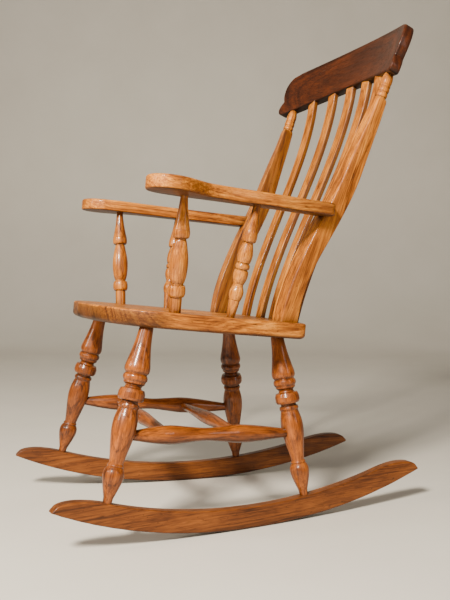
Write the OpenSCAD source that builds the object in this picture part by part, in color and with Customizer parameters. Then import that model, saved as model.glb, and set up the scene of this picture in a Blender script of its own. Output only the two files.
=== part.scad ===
// Slat-back rocking chair with turned legs, turned arm supports and an arched crest rail.
// X is across the chair (+X is the sitter's left), the chair faces -Y, and the floor is Z = 0.
// The chair stands at rest on its rockers, which touch the floor on the line Y = rocker_low_y.

/* [Rockers] */
// Length of each rocker along its own plane
rocker_length = 886; // [800:2:940]
// Radius of the rocking curve at its lowest point
rocker_radius = 1290; // [1000:10:1800]
// How far back of the frame's middle the rocker touches the floor at rest
rocker_low_y = 6; // [-20:1:30]
// Height of the rocker board at its middle
rocker_depth = 46; // [38:1:56]
// Thickness of the rocker board
rocker_thickness = 24; // [20:1:30]
// Distance between the rockers' middle planes, measured at the frame's middle
rocker_gauge = 407; // [380:1:440]
// Angle by which each rocker runs inward towards the back
rocker_toe = 5.3; // [0:0.1:8]

/* [Seat] */
// Height of the seat's top above the floor, at the frame's middle
seat_height = 443; // [420:1:460]
// Backward slope of the seat
seat_tilt = 5.5; // [3:0.1:8]
// Full width of the seat at its widest
seat_width = 490; // [470:1:520]
// Thickness of the seat plank
seat_thickness = 34; // [30:1:42]
// Depth of the saddle hollow in the seat
saddle_depth = 5; // [2:0.5:7]

/* [Legs and stretchers] */
// Diameter of the big drum ring on each leg
leg_ring_d = 54; // [46:1:60]
// Diameter of a leg where it enters the seat
leg_head_d = 28; // [24:1:32]
// Diameter of a leg's foot
leg_foot_d = 18; // [16:1:20]
// Diameter of a stretcher's ends
stretcher_end_d = 19; // [16:1:20]
// Diameter of a side stretcher's two swells
side_swell_d = 39; // [34:1:42]
// Diameter of a cross stretcher's middle swell
cross_swell_d = 31; // [26:1:36]

/* [Back] */
// Sideways thickness of the back posts
post_thickness = 42; // [36:1:46]
// Width of each slat
slat_width = 33; // [24:1:38]
// Thickness of each slat
slat_thickness = 12; // [9:1:14]
// Full width of the crest rail
crest_width = 556; // [530:2:580]
// Height of the crest rail at its middle
crest_height = 118; // [100:1:126]
// Thickness of the crest rail
crest_thickness = 25; // [20:1:28]

/* [Arms] */
// Thickness of the arm boards
arm_thickness = 27; // [20:1:30]
// Diameter of the front arm posts at their belly
arm_post_d = 38; // [32:1:42]
// Diameter of the rear arm spindles at their barrels
arm_spindle_d = 31; // [26:1:34]

/* [Hidden] */

// Finishes
oak = [0.78, 0.53, 0.29];
orange_oak = [0.72, 0.42, 0.2];
dark_oak = [0.42, 0.23, 0.12];
steel = [0.45, 0.43, 0.4];

// Gap left round every tenon, peg and screw
fit_gap = 0.1;

// ---------- Curve helpers ----------

// One point of a Catmull-Rom curve between b and c, with neighbours a and d
function curve_point(a, b, c, d, t) =
    0.5 * (2 * b + (c - a) * t + (2 * a - 5 * b + 4 * c - d) * t * t + (3 * b - a - 3 * c + d) * t * t * t);

// A smooth open curve through the points of p, with n steps between each pair
function smooth(p, n = 5) = let (last = len(p) - 1) [
    for (i = [0:last - 1])
        for (k = [0:n - 1])
            curve_point(p[max(i - 1, 0)], p[i], p[i + 1], p[min(i + 2, last)], k / n),
    p[last]
];

// Rocker numbers, in the rocker's own plane: s runs along it from front to back
rocker_half = rocker_length / 2;
rocker_tip_lift = 7.5;
rocker_front_lift = 4.6;
rocker_depth_growth = 0.007;
rocker_front_nose = 105;
rocker_back_nose = 110;
rocker_tip_thickness = 3;
// Length of each flat along the rocking edge, and of each step round the noses
rocker_facet = 22;
nose_step = 10;

function rocker_bottom(s) = let (u = s - rocker_low_y, v = u / rocker_half)
    u * u / (2 * rocker_radius) + rocker_tip_lift * pow(v, 4) - rocker_front_lift * pow(v, 3);
function rocker_slope(s) = atan((rocker_bottom(s + 1) - rocker_bottom(s - 1)) / 2);
function nose_fraction(s) = s < 0
    ? max(0, (-s - rocker_half + rocker_front_nose) / rocker_front_nose)
    : max(0, (s - rocker_half + rocker_back_nose) / rocker_back_nose);
function rocker_deep(s) = let (full = rocker_depth + rocker_depth_growth * s)
    rocker_tip_thickness + (full - rocker_tip_thickness) * sqrt(1 - min(1, pow(nose_fraction(s), 2)));
function rocker_top_point(s) = let (a = rocker_slope(s))
    [s - sin(a) * rocker_deep(s), rocker_bottom(s) + cos(a) * rocker_deep(s)];

// A point on top of the left rocker's middle line, for a given y
function rocker_top_at(y) = let (
        s = y / cos(rocker_toe),
        guess = s + sin(rocker_slope(s)) * rocker_deep(s),
        p = rocker_top_point(guess)
    )
    [rocker_gauge / 2 - p[0] * sin(rocker_toe), p[0] * cos(rocker_toe), p[1]];

// Seat numbers
seat_bevel_height = 8;
seat_bevel_inset = 14;
seat_slope = tan(seat_tilt);
function seat_top_at(y) = seat_height - y * seat_slope;
function seat_under_at(y) = seat_top_at(y) - seat_thickness / cos(seat_tilt);
function on_seat(x, y) = [x, y, seat_top_at(y)];
function under_seat(x, y) = [x, y, seat_under_at(y)];

// Leg ends
front_foot = rocker_top_at(-330);
rear_foot = rocker_top_at(124);
front_head = under_seat(199, -240);
rear_head = under_seat(141, 79);
leg_head_depth = 22;
foot_tenon_d = 14;
foot_tenon_length = 26;
foot_let_in = 3;

// Point a fraction t of the way from p to q
function along(p, q, t) = p + (q - p) * t;
function toward(p, q) = (q - p) / norm(q - p);
function mirrored(p) = [-p[0], p[1], p[2]];
// The point as far past q as p is before it
function beyond(p, q) = 2 * q - p;

// Stretchers: where they meet the legs and each other
side_front = along(front_foot, front_head, 0.374);
side_rear = along(rear_foot, rear_head, 0.388);
stretcher_depth = 14;
front_swell_at = 0.257;
rear_swell_at = 0.66;
cross_front = along(side_front, side_rear, front_swell_at);
cross_rear = along(side_front, side_rear, rear_swell_at);
cross_depth = 13;
cross_end_d = 17;

// Arm numbers
arm_tilt = 4.9;
arm_top_front = 720;
arm_front_y = -179;
arm_slope = tan(arm_tilt);
function arm_under_at(y) = arm_top_front - (y - arm_front_y) * arm_slope - arm_thickness / cos(arm_tilt);
arm_post_foot = on_seat(213, -186);
arm_post_head = [250, arm_front_y, arm_under_at(arm_front_y)];
spindle_foot = on_seat(213, -64);
spindle_head = [251, -22, arm_under_at(-22)];
arm_post_neck_d = 16;
arm_post_foot_d = 25;
arm_socket_depth = 15;
spindle_neck_d = 16;
spindle_foot_d = 17;
seat_socket_depth = 22;

// Back post numbers, in the post's own frame, which stands at post_base and is turned by post_toe
post_base = on_seat(189, 74);
post_tip = [231, 309.5, 992];
post_toe = 5;
post_turned_from = 0.885;
post_neck_d = 13;
post_tip_depth = 34;
post_tenon = [26, 26, 26];
post_rise = post_tip[2] - post_base[2];
post_lean_x = (post_tip[0] - post_base[0]) * cos(post_toe) + (post_tip[1] - post_base[1]) * sin(post_toe);
post_lean_y = (post_tip[1] - post_base[1]) * cos(post_toe) - (post_tip[0] - post_base[0]) * sin(post_toe);

// Crest numbers, in the crest's own frame: y is through its thickness and z is up its face
crest_lean = 22.3;
crest_bow_radius = 823;
crest_arch_radius = 767;
crest_origin = [0, 349.5, 1003];

// Slat numbers: the five slats are counted from the middle one
slat_places = [-2:2];
slat_gap_seat = 66;
slat_gap_crest = 80;
slat_seat_bow = 1300;
slat_foot_y = 137;
slat_tenon_side = 3;
slat_tenon_thick = 9;
slat_tenon_length = 14;
slat_steps = 20;

// ---------- Placing helpers ----------

// Stand the children on p with their z axis towards q
module aim(p, q) {
    d = q - p;
    translate(p)
        rotate([0, acos(d[2] / norm(d)), atan2(d[1], d[0])])
            children();
}

module right_side() {
    mirror([1, 0, 0]) children();
}

module both_sides() {
    children();
    right_side() children();
}

// A turned shape from a list of [height, radius] rows
module turned(rows) {
    first = rows[0];
    last = rows[len(rows) - 1];
    rotate_extrude($fn = 48)
        polygon(concat([[0, first[0]]], [for (r = rows) [r[1], r[0]]], [[0, last[0]]]));
}

// ---------- Rockers ----------

module rocker_board() {
    front_nose_end = -rocker_half + rocker_front_nose;
    back_nose_start = rocker_half - rocker_back_nose;
    facets = ceil(rocker_half / rocker_facet);
    bottom_stations = [
        -rocker_half,
        for (i = [-facets:facets])
            let (s = rocker_low_y + (i + 0.5) * rocker_facet)
                if (abs(s) < rocker_half - 2) s,
        rocker_half
    ];
    top_stations = [
        for (s = [-rocker_half:nose_step:front_nose_end]) s,
        for (s = [front_nose_end + rocker_facet:rocker_facet:back_nose_start]) s,
        for (s = [back_nose_start + nose_step - 2:nose_step:rocker_half]) s
    ];
    under = [for (s = bottom_stations) [s, rocker_bottom(s)]];
    over = [for (i = [len(top_stations) - 1:-1:0]) rocker_top_point(top_stations[i])];
    translate([rocker_gauge / 2, 0, 0])
        rotate([0, 0, rocker_toe])
            rotate([90, 0, 90])
                linear_extrude(height = rocker_thickness, center = true)
                    polygon(concat(under, over));
}

// The socket for a leg's foot: a shallow seat for the foot and a bore for its tenon
module foot_socket(foot, head) {
    aim(foot, head) {
        translate([0, 0, -foot_let_in])
            cylinder(h = 30, d = leg_foot_d + 2 * fit_gap, $fn = 48);
        translate([0, 0, -foot_let_in - foot_tenon_length - fit_gap])
            cylinder(h = foot_tenon_length + 1, d = foot_tenon_d + 2 * fit_gap, $fn = 48);
    }
}

// Pegs that lock the leg tenons, driven from the rocker's inner face
peg_d = 6;
peg_length = 21;
peg_drop = 15;
peg_proud = 0.4;
module rocker_peg(foot, head, grow = 0) {
    p = along(foot, foot - toward(foot, head), peg_drop);
    translate(p)
        rotate([0, 0, rocker_toe])
            translate([-rocker_thickness / 2 - peg_proud, 0, 0])
                rotate([0, 90, 0])
                    cylinder(h = peg_length + grow, d = peg_d + 2 * grow, $fn = 32);
}

module left_rocker_pegs(grow = 0) {
    rocker_peg(front_foot, front_head, grow);
    rocker_peg(rear_foot, rear_head, grow);
}

module left_rocker() {
    difference() {
        rocker_board();
        foot_socket(front_foot, front_head);
        foot_socket(rear_foot, rear_head);
        left_rocker_pegs(fit_gap);
    }
}

module rocker_left() {
    color(oak) left_rocker();
}

module rocker_right() {
    color(oak) right_side() left_rocker();
}

module rocker_pegs() {
    color(dark_oak) both_sides() left_rocker_pegs();
}

// ---------- Legs ----------

// Rows up a leg of visible length l, from the foot to the head
function leg_rows(l) = let (r = leg_ring_d / 2) concat(
    [[-foot_let_in, leg_foot_d / 2], [0, leg_foot_d / 2]],
    smooth([[0.03 * l, 0.37 * r], [0.085 * l, 0.6 * r], [0.125 * l, 0.74 * r], [0.15 * l, 0.78 * r],
            [0.175 * l, 0.75 * r], [0.195 * l, 0.62 * r]], 4),
    smooth([[0.2 * l, 0.57 * r], [0.206 * l, 0.61 * r], [0.212 * l, 0.57 * r]], 2),
    smooth([[0.218 * l, 0.52 * r], [0.26 * l, 0.6 * r], [0.34 * l, 0.79 * r], [0.41 * l, 0.91 * r],
            [0.47 * l, 0.88 * r], [0.525 * l, 0.72 * r]], 4),
    smooth([[0.53 * l, 0.72 * r], [0.542 * l, 0.79 * r], [0.556 * l, 0.75 * r]], 3),
    [[0.56 * l, 0.63 * r], [0.572 * l, 0.63 * r]],
    [[0.576 * l, 0.91 * r], [0.59 * l, 1.0 * r], [0.618 * l, 1.0 * r], [0.64 * l, 0.9 * r]],
    [[0.645 * l, 0.66 * r], [0.655 * l, 0.6 * r], [0.664 * l, 0.66 * r]],
    smooth([[0.668 * l, 0.74 * r], [0.673 * l, 0.8 * r], [0.679 * l, 0.8 * r]], 3),
    smooth([[0.684 * l, 0.82 * r], [0.698 * l, 0.92 * r], [0.715 * l, 0.91 * r], [0.727 * l, 0.8 * r]], 4),
    smooth([[0.732 * l, 0.84 * r], [0.745 * l, 0.94 * r], [0.77 * l, 0.95 * r], [0.82 * l, 0.82 * r],
            [0.9 * l, 0.64 * r], [l, leg_head_d / 2]], 4),
    [[l + leg_head_depth, leg_head_d / 2]]
);

module leg_blank(foot, head) {
    aim(foot, head) {
        turned(leg_rows(norm(head - foot)));
        translate([0, 0, -foot_let_in - foot_tenon_length])
            cylinder(h = foot_tenon_length + 1, d = foot_tenon_d, $fn = 48);
    }
}

module stretcher_socket(from, to, depth, d) {
    aim(from, to)
        translate([0, 0, -depth - fit_gap])
            cylinder(h = depth + 40, d = d + 2 * fit_gap, $fn = 48);
}

module front_leg() {
    difference() {
        leg_blank(front_foot, front_head);
        stretcher_socket(side_front, side_rear, stretcher_depth, stretcher_end_d);
        rocker_peg(front_foot, front_head, fit_gap);
    }
}

module rear_leg() {
    difference() {
        leg_blank(rear_foot, rear_head);
        stretcher_socket(side_rear, side_front, stretcher_depth, stretcher_end_d);
        rocker_peg(rear_foot, rear_head, fit_gap);
    }
}

module front_leg_left() {
    color(orange_oak) front_leg();
}

module front_leg_right() {
    color(orange_oak) right_side() front_leg();
}

module rear_leg_left() {
    color(orange_oak) rear_leg();
}

module rear_leg_right() {
    color(orange_oak) right_side() rear_leg();
}

// ---------- Stretchers ----------

function side_stretcher_rows(l) = let (e = stretcher_end_d / 2, s = side_swell_d / 2, w = 0.68 * s)
    smooth([[-stretcher_depth, e], [0, e], [0.05 * l, e + 0.3], [0.16 * l, 0.84 * s], [front_swell_at * l, s],
            [0.36 * l, 0.83 * s], [0.46 * l, w], [0.56 * l, 0.83 * s], [rear_swell_at * l, s],
            [0.79 * l, 0.84 * s], [0.94 * l, e + 0.3], [l, e], [l + stretcher_depth, e]], 4);

module side_stretcher() {
    difference() {
        aim(side_front, side_rear)
            turned(side_stretcher_rows(norm(side_rear - side_front)));
        stretcher_socket(cross_front, mirrored(cross_front), cross_depth, cross_end_d);
        stretcher_socket(cross_rear, mirrored(cross_rear), cross_depth, cross_end_d);
    }
}

module side_stretcher_left() {
    color(orange_oak) side_stretcher();
}

module side_stretcher_right() {
    color(orange_oak) right_side() side_stretcher();
}

// Rows along a cross stretcher, the same both ways from its middle, with scribed rings on the swell
ring_half = 1.2;
ring_cut = 1;
function half_cross_rows(h) = let (e = cross_end_d / 2, s = cross_swell_d / 2) concat(
    smooth([[0, s], [0.1 * h, 0.985 * s], [0.14 * h - ring_half, 0.97 * s]], 3),
    [[0.14 * h, 0.97 * s - ring_cut]],
    smooth([[0.14 * h + ring_half, 0.96 * s], [0.32 * h, 0.84 * s], [0.6 * h, 0.66 * s], [0.86 * h, e],
            [h + cross_depth, e]], 4)
);

module cross_stretcher(at) {
    rows = half_cross_rows(at[0]);
    back_rows = [for (i = [len(rows) - 1:-1:1]) [-rows[i][0], rows[i][1]]];
    translate([0, at[1], at[2]])
        rotate([0, 90, 0])
            turned(concat(back_rows, rows));
}

module front_cross_stretcher() {
    color(orange_oak) cross_stretcher(cross_front);
}

module rear_cross_stretcher() {
    color(orange_oak) cross_stretcher(cross_rear);
}

// ---------- Seat ----------

// Half of the seat's outline, front middle to back middle, for half width w
function seat_half_outline(w) = concat(
    smooth([[0, -338], [0.41 * w, -328], [0.72 * w, -300], [0.91 * w, -255], [0.985 * w, -190],
            [w, -110], [0.985 * w, -20], [0.955 * w, 50], [0.94 * w, 94]], 6),
    smooth([[0.93 * w, 104], [0.88 * w, 113], [0.6 * w, 142], [0.3 * w, 157], [0, 162]], 5)
);

module seat_outline(inset = 0) {
    w = seat_width / 2;
    h = seat_half_outline(w);
    shrink = [1 - inset / w, 1 - inset / 250];
    middle_y = -88;
    full = concat(h, [for (i = [len(h) - 2:-1:1]) [-h[i][0], h[i][1]]]);
    polygon([for (p = full) [p[0] * shrink[0], middle_y + (p[1] - middle_y) * shrink[1]]]);
}

// Everything under the seat's sloping top, drawn as if the seat were level at Z = 0
module seat_plank() {
    face = seat_thickness - seat_bevel_height;
    translate([0, 0, -face])
        linear_extrude(height = face)
            seat_outline();
    hull() {
        translate([0, 0, -face - 0.01])
            linear_extrude(height = 0.01)
                seat_outline();
        translate([0, 0, -seat_thickness])
            linear_extrude(height = 0.01)
                seat_outline(seat_bevel_inset);
    }
}

// A shallow round hollow with a flat floor and a long sloping rim
saddle_floor_r = 105;
saddle_rim_r = 175;
saddle_y = -110;
module saddle_hollow() {
    translate([0, saddle_y, -saddle_depth])
        rotate_extrude($fn = 96)
            polygon(concat(
                [[0, 0]],
                smooth([[saddle_floor_r, 0], [saddle_floor_r + 22, 0.15 * saddle_depth],
                        [saddle_rim_r - 22, 0.8 * saddle_depth], [saddle_rim_r, saddle_depth]], 4),
                [[saddle_rim_r, saddle_depth + 10], [0, saddle_depth + 10]]
            ));
}

module level_with_seat() {
    translate([0, 0, seat_height])
        rotate([-seat_tilt, 0, 0])
            children();
}

// A bore of this depth at the point from, running towards to, and open behind it
bore_lead = 12;
module round_socket(from, to, depth, d) {
    aim(from, to)
        translate([0, 0, -bore_lead])
            cylinder(h = depth + bore_lead + fit_gap, d = d + 2 * fit_gap, $fn = 48);
}

// The socket in the seat's top for a turned piece that runs from foot to head
module seat_socket(foot, head, d) {
    round_socket(foot, beyond(head, foot), seat_socket_depth, d);
}

module seat() {
    color(oak)
        difference() {
            level_with_seat()
                difference() {
                    seat_plank();
                    saddle_hollow();
                }
            both_sides() {
                round_socket(front_head, beyond(front_foot, front_head), leg_head_depth, leg_head_d);
                round_socket(rear_head, beyond(rear_foot, rear_head), leg_head_depth, leg_head_d);
                seat_socket(arm_post_foot, arm_post_head, arm_post_foot_d);
                seat_socket(spindle_foot, spindle_head, spindle_foot_d);
                post_mortise();
            }
            for (k = slat_places)
                slat_foot_tenon(k, fit_gap);
        }
}

// A block that fills the space above the seat's plane
module above_seat() {
    level_with_seat()
        translate([-400, -600, 0])
            cube([800, 1200, 900]);
}

// ---------- Back posts ----------

module in_post_frame() {
    translate(post_base)
        rotate([0, 0, post_toe])
            children();
}

// Middle line of the post, front to back, at each height above its base as a part of post_rise
function post_mid(t) = lookup(t, [
    [-0.1, -0.015], [0, 0], [0.08, 0.033], [0.16, 0.095], [0.24, 0.18], [0.32, 0.282], [0.4, 0.388],
    [0.48, 0.49], [0.56, 0.58], [0.64, 0.658], [0.72, 0.738], [0.8, 0.82], [0.9, 0.91], [1, 1]]);
function post_wide(t) = lookup(t, [
    [-0.1, 45], [0, 44], [0.08, 41.5], [0.16, 41], [0.24, 43.5], [0.32, 47.5], [0.4, 49.5],
    [0.48, 48], [0.56, 45], [0.64, 41], [0.72, 36], [0.8, 31], [0.88, 27.5]]);

post_stations = [for (t = [-0.08:0.08:0.97]) t];

// The post's front or back edge, seen from the side
function post_edge(sign, grow) = smooth([
    for (t = post_stations) [post_mid(t) * post_lean_y + sign * (post_wide(t) / 2 + grow), t * post_rise]
], 4);

// The post seen from the side
module post_side(grow = 0) {
    back = post_edge(1, grow);
    polygon(concat(post_edge(-1, grow), [for (i = [len(back) - 1:-1:0]) back[i]]));
}

// Where the post starts and stops tapering, as parts of post_rise, and half its thickness at the top
post_taper_from = 0.5;
post_taper_to = 0.9;
post_top_half = 13.5;

// The post seen from the front: even up to the arm and tapering above it
module post_front(grow = 0) {
    half = post_thickness / 2 + grow;
    rows = [[-0.1, half], [post_taper_from, half], [post_taper_to, post_top_half + grow]];
    polygon(concat(
        [for (r = rows) [r[0] * post_lean_x - r[1], r[0] * post_rise]],
        [for (i = [2:-1:0]) [rows[i][0] * post_lean_x + rows[i][1], rows[i][0] * post_rise]]
    ));
}

// The point on the post's middle line at t, in the post's own frame
function post_at(t) = [t * post_lean_x, post_mid(t) * post_lean_y, t * post_rise];

// Turned top: two beads and a thin ring between grooves, then a cone that narrows into the crest
function post_top_rows(l) = concat(
    [[-4, 12.6], [0, 12.6], [0.015 * l, 11.6], [0.04 * l, 11.6]],
    smooth([[0.05 * l, 12.8], [0.115 * l, 13.6], [0.18 * l, 12.8]], 3),
    [[0.19 * l, 11.8], [0.22 * l, 11.8]],
    smooth([[0.23 * l, 12.8], [0.295 * l, 13.6], [0.36 * l, 12.8]], 3),
    [[0.37 * l, 12], [0.395 * l, 12]],
    smooth([[0.4 * l, 12.6], [0.43 * l, 13.2], [0.46 * l, 12.6]], 2),
    [[0.47 * l, 12], [0.485 * l, 12]],
    smooth([[0.5 * l, 12.6], [0.6 * l, 13], [0.74 * l, 11.6], [0.88 * l, 8.8], [l, post_neck_d / 2]], 4),
    [[l + post_tip_depth, post_neck_d / 2]]
);

// The sawn part of the post, endless at its foot
module sawn_post(grow = 0) {
    in_post_frame()
        intersection() {
            rotate([90, 0, 90])
                linear_extrude(height = 300, center = true)
                    post_side(grow);
            translate([0, 300, 0])
                rotate([90, 0, 0])
                    linear_extrude(height = 600)
                        post_front(grow);
            post_turning_limit(post_at(post_turned_from), post_at(1));
        }
}

module back_post() {
    low = post_at(post_turned_from);
    top = post_at(1);
    intersection() {
        sawn_post();
        above_seat();
    }
    in_post_frame() {
        aim(low, top)
            turned(post_top_rows(norm(top - low)));
    }
    post_tenon_block();
}

// Keeps the sawn part of the post below the start of its turned top
module post_turning_limit(low, top) {
    aim(low, top)
        translate([-400, -400, -1200])
            cube([800, 800, 1200]);
}

module post_tenon_block(grow = 0) {
    size = post_tenon + [2 * grow, 2 * grow, grow];
    in_post_frame()
        translate([-size[0] / 2, -size[1] / 2, -size[2]])
            cube(size + [0, 0, 1]);
}

module post_mortise() {
    post_tenon_block(fit_gap);
}

module drilled_post() {
    difference() {
        back_post();
        arm_screw_hole();
        crest_peg(fit_gap);
    }
}

module back_post_left() {
    color(oak) drilled_post();
}

module back_post_right() {
    color(oak) right_side() drilled_post();
}

// ---------- Crest rail ----------

module in_crest_frame() {
    translate(crest_origin)
        rotate([-crest_lean, 0, 0])
            children();
}

// Outline of the crest's face: an arched top and underside, rounded shoulders and a notch in each end
function arch(x, top) = top - (crest_arch_radius - sqrt(crest_arch_radius * crest_arch_radius - x * x));
module crest_face() {
    w = crest_width / 2;
    under_end = 0.92 * w;
    over_end = 0.885 * w;
    low = arch(under_end, 0);
    high = arch(over_end, crest_height) - 2;
    right_end = concat(
        smooth([[under_end, low], [0.965 * w, low - 2], [0.99 * w, low + 8], [0.985 * w, low + 22],
                [0.962 * w, low + 36]], 5),
        smooth([[0.972 * w, low + 40], [0.994 * w, low + 56], [w, low + 78], [0.98 * w, low + 97],
                [0.943 * w, high - 8], [over_end, high]], 5)
    );
    under = [for (i = [-15:15]) let (x = i * under_end / 16) [x, arch(x, 0)]];
    over = [for (i = [15:-1:-15]) let (x = i * over_end / 16) [x, arch(x, crest_height)]];
    left_end = [for (i = [len(right_end) - 1:-1:0]) [-right_end[i][0], right_end[i][1]]];
    polygon(concat(under, right_end, over, left_end));
}

// The bowed board: the face outline cut through a curved shell
module crest_blank(reach = 0) {
    in_crest_frame()
        intersection() {
            rotate([90, 0, 0])
                linear_extrude(height = 400, center = true)
                    crest_face();
            translate([0, -crest_bow_radius, -150])
                difference() {
                    cylinder(h = 400, r = crest_bow_radius + crest_thickness / 2 + reach, $fn = 360);
                    translate([0, 0, -1])
                        cylinder(h = 402, r = crest_bow_radius - crest_thickness / 2 - reach, $fn = 360);
                }
        }
}

// Pegs through the back of the crest into the tips of the posts
crest_peg_d = 5;
crest_peg_length = 21;
crest_peg_height = 18;
crest_peg_turn = 20;
module crest_peg(grow = 0) {
    centre = post_tip + post_tip_direction() * crest_peg_height;
    translate(centre)
        rotate([-crest_lean, 0, 0])
            rotate([0, 0, -asin(post_tip[0] / crest_bow_radius)])
                translate([0, crest_thickness / 2 + peg_proud, 0])
                    rotate([90, crest_peg_turn, 0])
                        cylinder(h = crest_peg_length + grow, d = crest_peg_d + 2 * grow, $fn = 32);
}

function post_tip_direction() = let (
        d = post_at(1) - post_at(post_turned_from),
        x = d[0] * cos(post_toe) - d[1] * sin(post_toe),
        y = d[0] * sin(post_toe) + d[1] * cos(post_toe)
    )
    [x, y, d[2]] / norm(d);

module post_tip_socket() {
    round_socket(post_tip, post_tip + post_tip_direction(), post_tip_depth, post_neck_d);
}

module crest_rail() {
    color(dark_oak)
        difference() {
            crest_blank();
            both_sides() {
                post_tip_socket();
                crest_peg(fit_gap);
            }
            for (k = slat_places)
                slat_head_tenon(k, fit_gap);
        }
}

module crest_pegs() {
    color(dark_oak) both_sides() crest_peg();
}

// ---------- Slats ----------

// Where slat k, counted from the middle, leaves the seat and enters the crest
function slat_foot(k) = let (x = k * slat_gap_seat) on_seat(x, slat_foot_y - x * x / slat_seat_bow);
function slat_head(k) = let (
        x = k * slat_gap_crest,
        y = -x * x / (2 * crest_bow_radius),
        z = arch(x, 0)
    )
    crest_origin + [x, y * cos(crest_lean) + z * sin(crest_lean), z * cos(crest_lean) - y * sin(crest_lean)];

// How far back a slat has leaned, as a part of its whole lean, at height t of its length
function slat_lean(t) = 0.5 * t + 0.5 * (3 * t * t - 2 * t * t * t) + 0.08 * t * (1 - t);
function slat_side_point(k, t) = let (d = slat_head(k) - slat_foot(k)) [slat_lean(t) * d[1], t * d[2]];

// Frame of slat k: at its foot, leaning sideways so that it ends below its place in the crest
module in_slat_frame(k) {
    d = slat_head(k) - slat_foot(k);
    translate(slat_foot(k))
        multmatrix([[1, 0, d[0] / d[2], 0], [0, 1, 0, 0], [0, 0, 1, 0], [0, 0, 0, 1]])
            children();
}

module slat_side(k) {
    half = slat_thickness / 2;
    spine = [for (i = [-1:slat_steps + 1]) slat_side_point(k, i / slat_steps)];
    last = len(spine) - 1;
    normals = [
        for (i = [0:last])
            let (d = spine[min(i + 1, last)] - spine[max(i - 1, 0)])
                [d[1], -d[0]] / norm(d)
    ];
    polygon(concat(
        [for (i = [0:last]) spine[i] - half * normals[i]],
        [for (i = [last:-1:0]) spine[i] + half * normals[i]]
    ));
}

module slat_body(k) {
    in_slat_frame(k)
        rotate([90, 0, 90])
            linear_extrude(height = slat_width, center = true)
                slat_side(k);
}

slat_cheek = slat_width - 2 * slat_tenon_side;
module slat_foot_tenon(k, grow = 0) {
    foot = slat_foot(k);
    lean = atan2(slat_side_point(k, 0.05)[0], slat_side_point(k, 0.05)[1]);
    translate(foot)
        rotate([-lean, 0, 0])
            translate([-slat_cheek / 2 - grow, -slat_tenon_thick / 2 - grow, -slat_tenon_length - grow])
                cube([slat_cheek + 2 * grow, slat_tenon_thick + 2 * grow, slat_tenon_length + 4 + grow]);
}

module slat_head_tenon(k, grow = 0) {
    d = slat_side_point(k, 1) - slat_side_point(k, 0.95);
    lean = atan2(d[0], d[1]);
    translate(slat_head(k))
        rotate([-lean, 0, 0])
            translate([-slat_cheek / 2 - grow, -slat_tenon_thick / 2 - grow, -6])
                cube([slat_cheek + 2 * grow, slat_tenon_thick + 2 * grow, slat_tenon_length + 6 + grow]);
}

module slat(k) {
    color(oak) {
        difference() {
            intersection() {
                slat_body(k);
                above_seat();
            }
            crest_blank(20);
        }
        slat_foot_tenon(k);
        slat_head_tenon(k);
    }
}

// ---------- Arms ----------

module in_arm_frame() {
    translate([0, arm_front_y, arm_top_front])
        rotate([-arm_tilt, 0, 0])
            children();
}

// Plan of the left arm, with y measured from the front arm post
module arm_outline() {
    inner = [[205, 345], [206, 325], [211, 285], [218, 225], [222, 150], [223.5, 80], [223, 0], [229, -46]];
    paddle = [[229, -46], [246, -73], [276, -86], [306, -84], [327, -65], [332, -36], [322, -8]];
    outer = [[322, -8], [304, 18], [288, 44], [281, 80], [276, 130], [269, 210], [263, 280], [259, 330]];
    tail = [[259, 330], [257, 338], [250, 342], [240, 345]];
    polygon(concat(smooth(inner, 5), smooth(paddle, 6), smooth(outer, 5), smooth(tail, 3)));
}

module arm_board() {
    in_arm_frame()
        translate([0, 0, -arm_thickness])
            linear_extrude(height = arm_thickness)
                arm_outline();
}

module arm() {
    difference() {
        arm_board();
        sawn_post(fit_gap);
        round_socket(arm_post_head, beyond(arm_post_foot, arm_post_head), arm_socket_depth, arm_post_neck_d);
        round_socket(spindle_head, beyond(spindle_foot, spindle_head), arm_socket_depth, spindle_neck_d);
        arm_screw_hole();
    }
}

module arm_left() {
    color(oak) arm();
}

module arm_right() {
    color(oak) right_side() arm();
}

// Rows up a front arm post of visible length l
function arm_post_rows(l) = let (r = arm_post_d / 2) concat(
    [[-seat_socket_depth, arm_post_foot_d / 2], [0, arm_post_foot_d / 2], [0.14 * l, 0.66 * r]],
    [[0.143 * l, 0.82 * r]],
    smooth([[0.155 * l, 0.9 * r], [0.175 * l, 0.95 * r], [0.21 * l, 0.95 * r], [0.24 * l, 0.86 * r]], 3),
    [[0.245 * l, 0.68 * r], [0.258 * l, 0.68 * r]],
    smooth([[0.264 * l, 0.74 * r], [0.32 * l, 0.91 * r], [0.41 * l, r], [0.49 * l, 0.95 * r],
            [0.57 * l, 0.78 * r], [0.625 * l, 0.64 * r]], 5),
    [[0.632 * l, 0.6 * r], [0.642 * l, 0.6 * r]],
    smooth([[0.646 * l, 0.78 * r], [0.66 * l, 0.9 * r], [0.69 * l, 0.93 * r], [0.714 * l, 0.9 * r]], 3),
    [[0.718 * l, 0.87 * r]],
    smooth([[0.723 * l, 0.89 * r], [0.78 * l, 0.74 * r], [0.87 * l, 0.55 * r],
            [0.97 * l, arm_post_neck_d / 2], [l, arm_post_neck_d / 2],
            [l + arm_socket_depth, arm_post_neck_d / 2]], 4)
);

module arm_post() {
    aim(arm_post_foot, arm_post_head)
        turned(arm_post_rows(norm(arm_post_head - arm_post_foot)));
}

module arm_post_left() {
    color(oak) arm_post();
}

module arm_post_right() {
    color(oak) right_side() arm_post();
}

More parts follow.
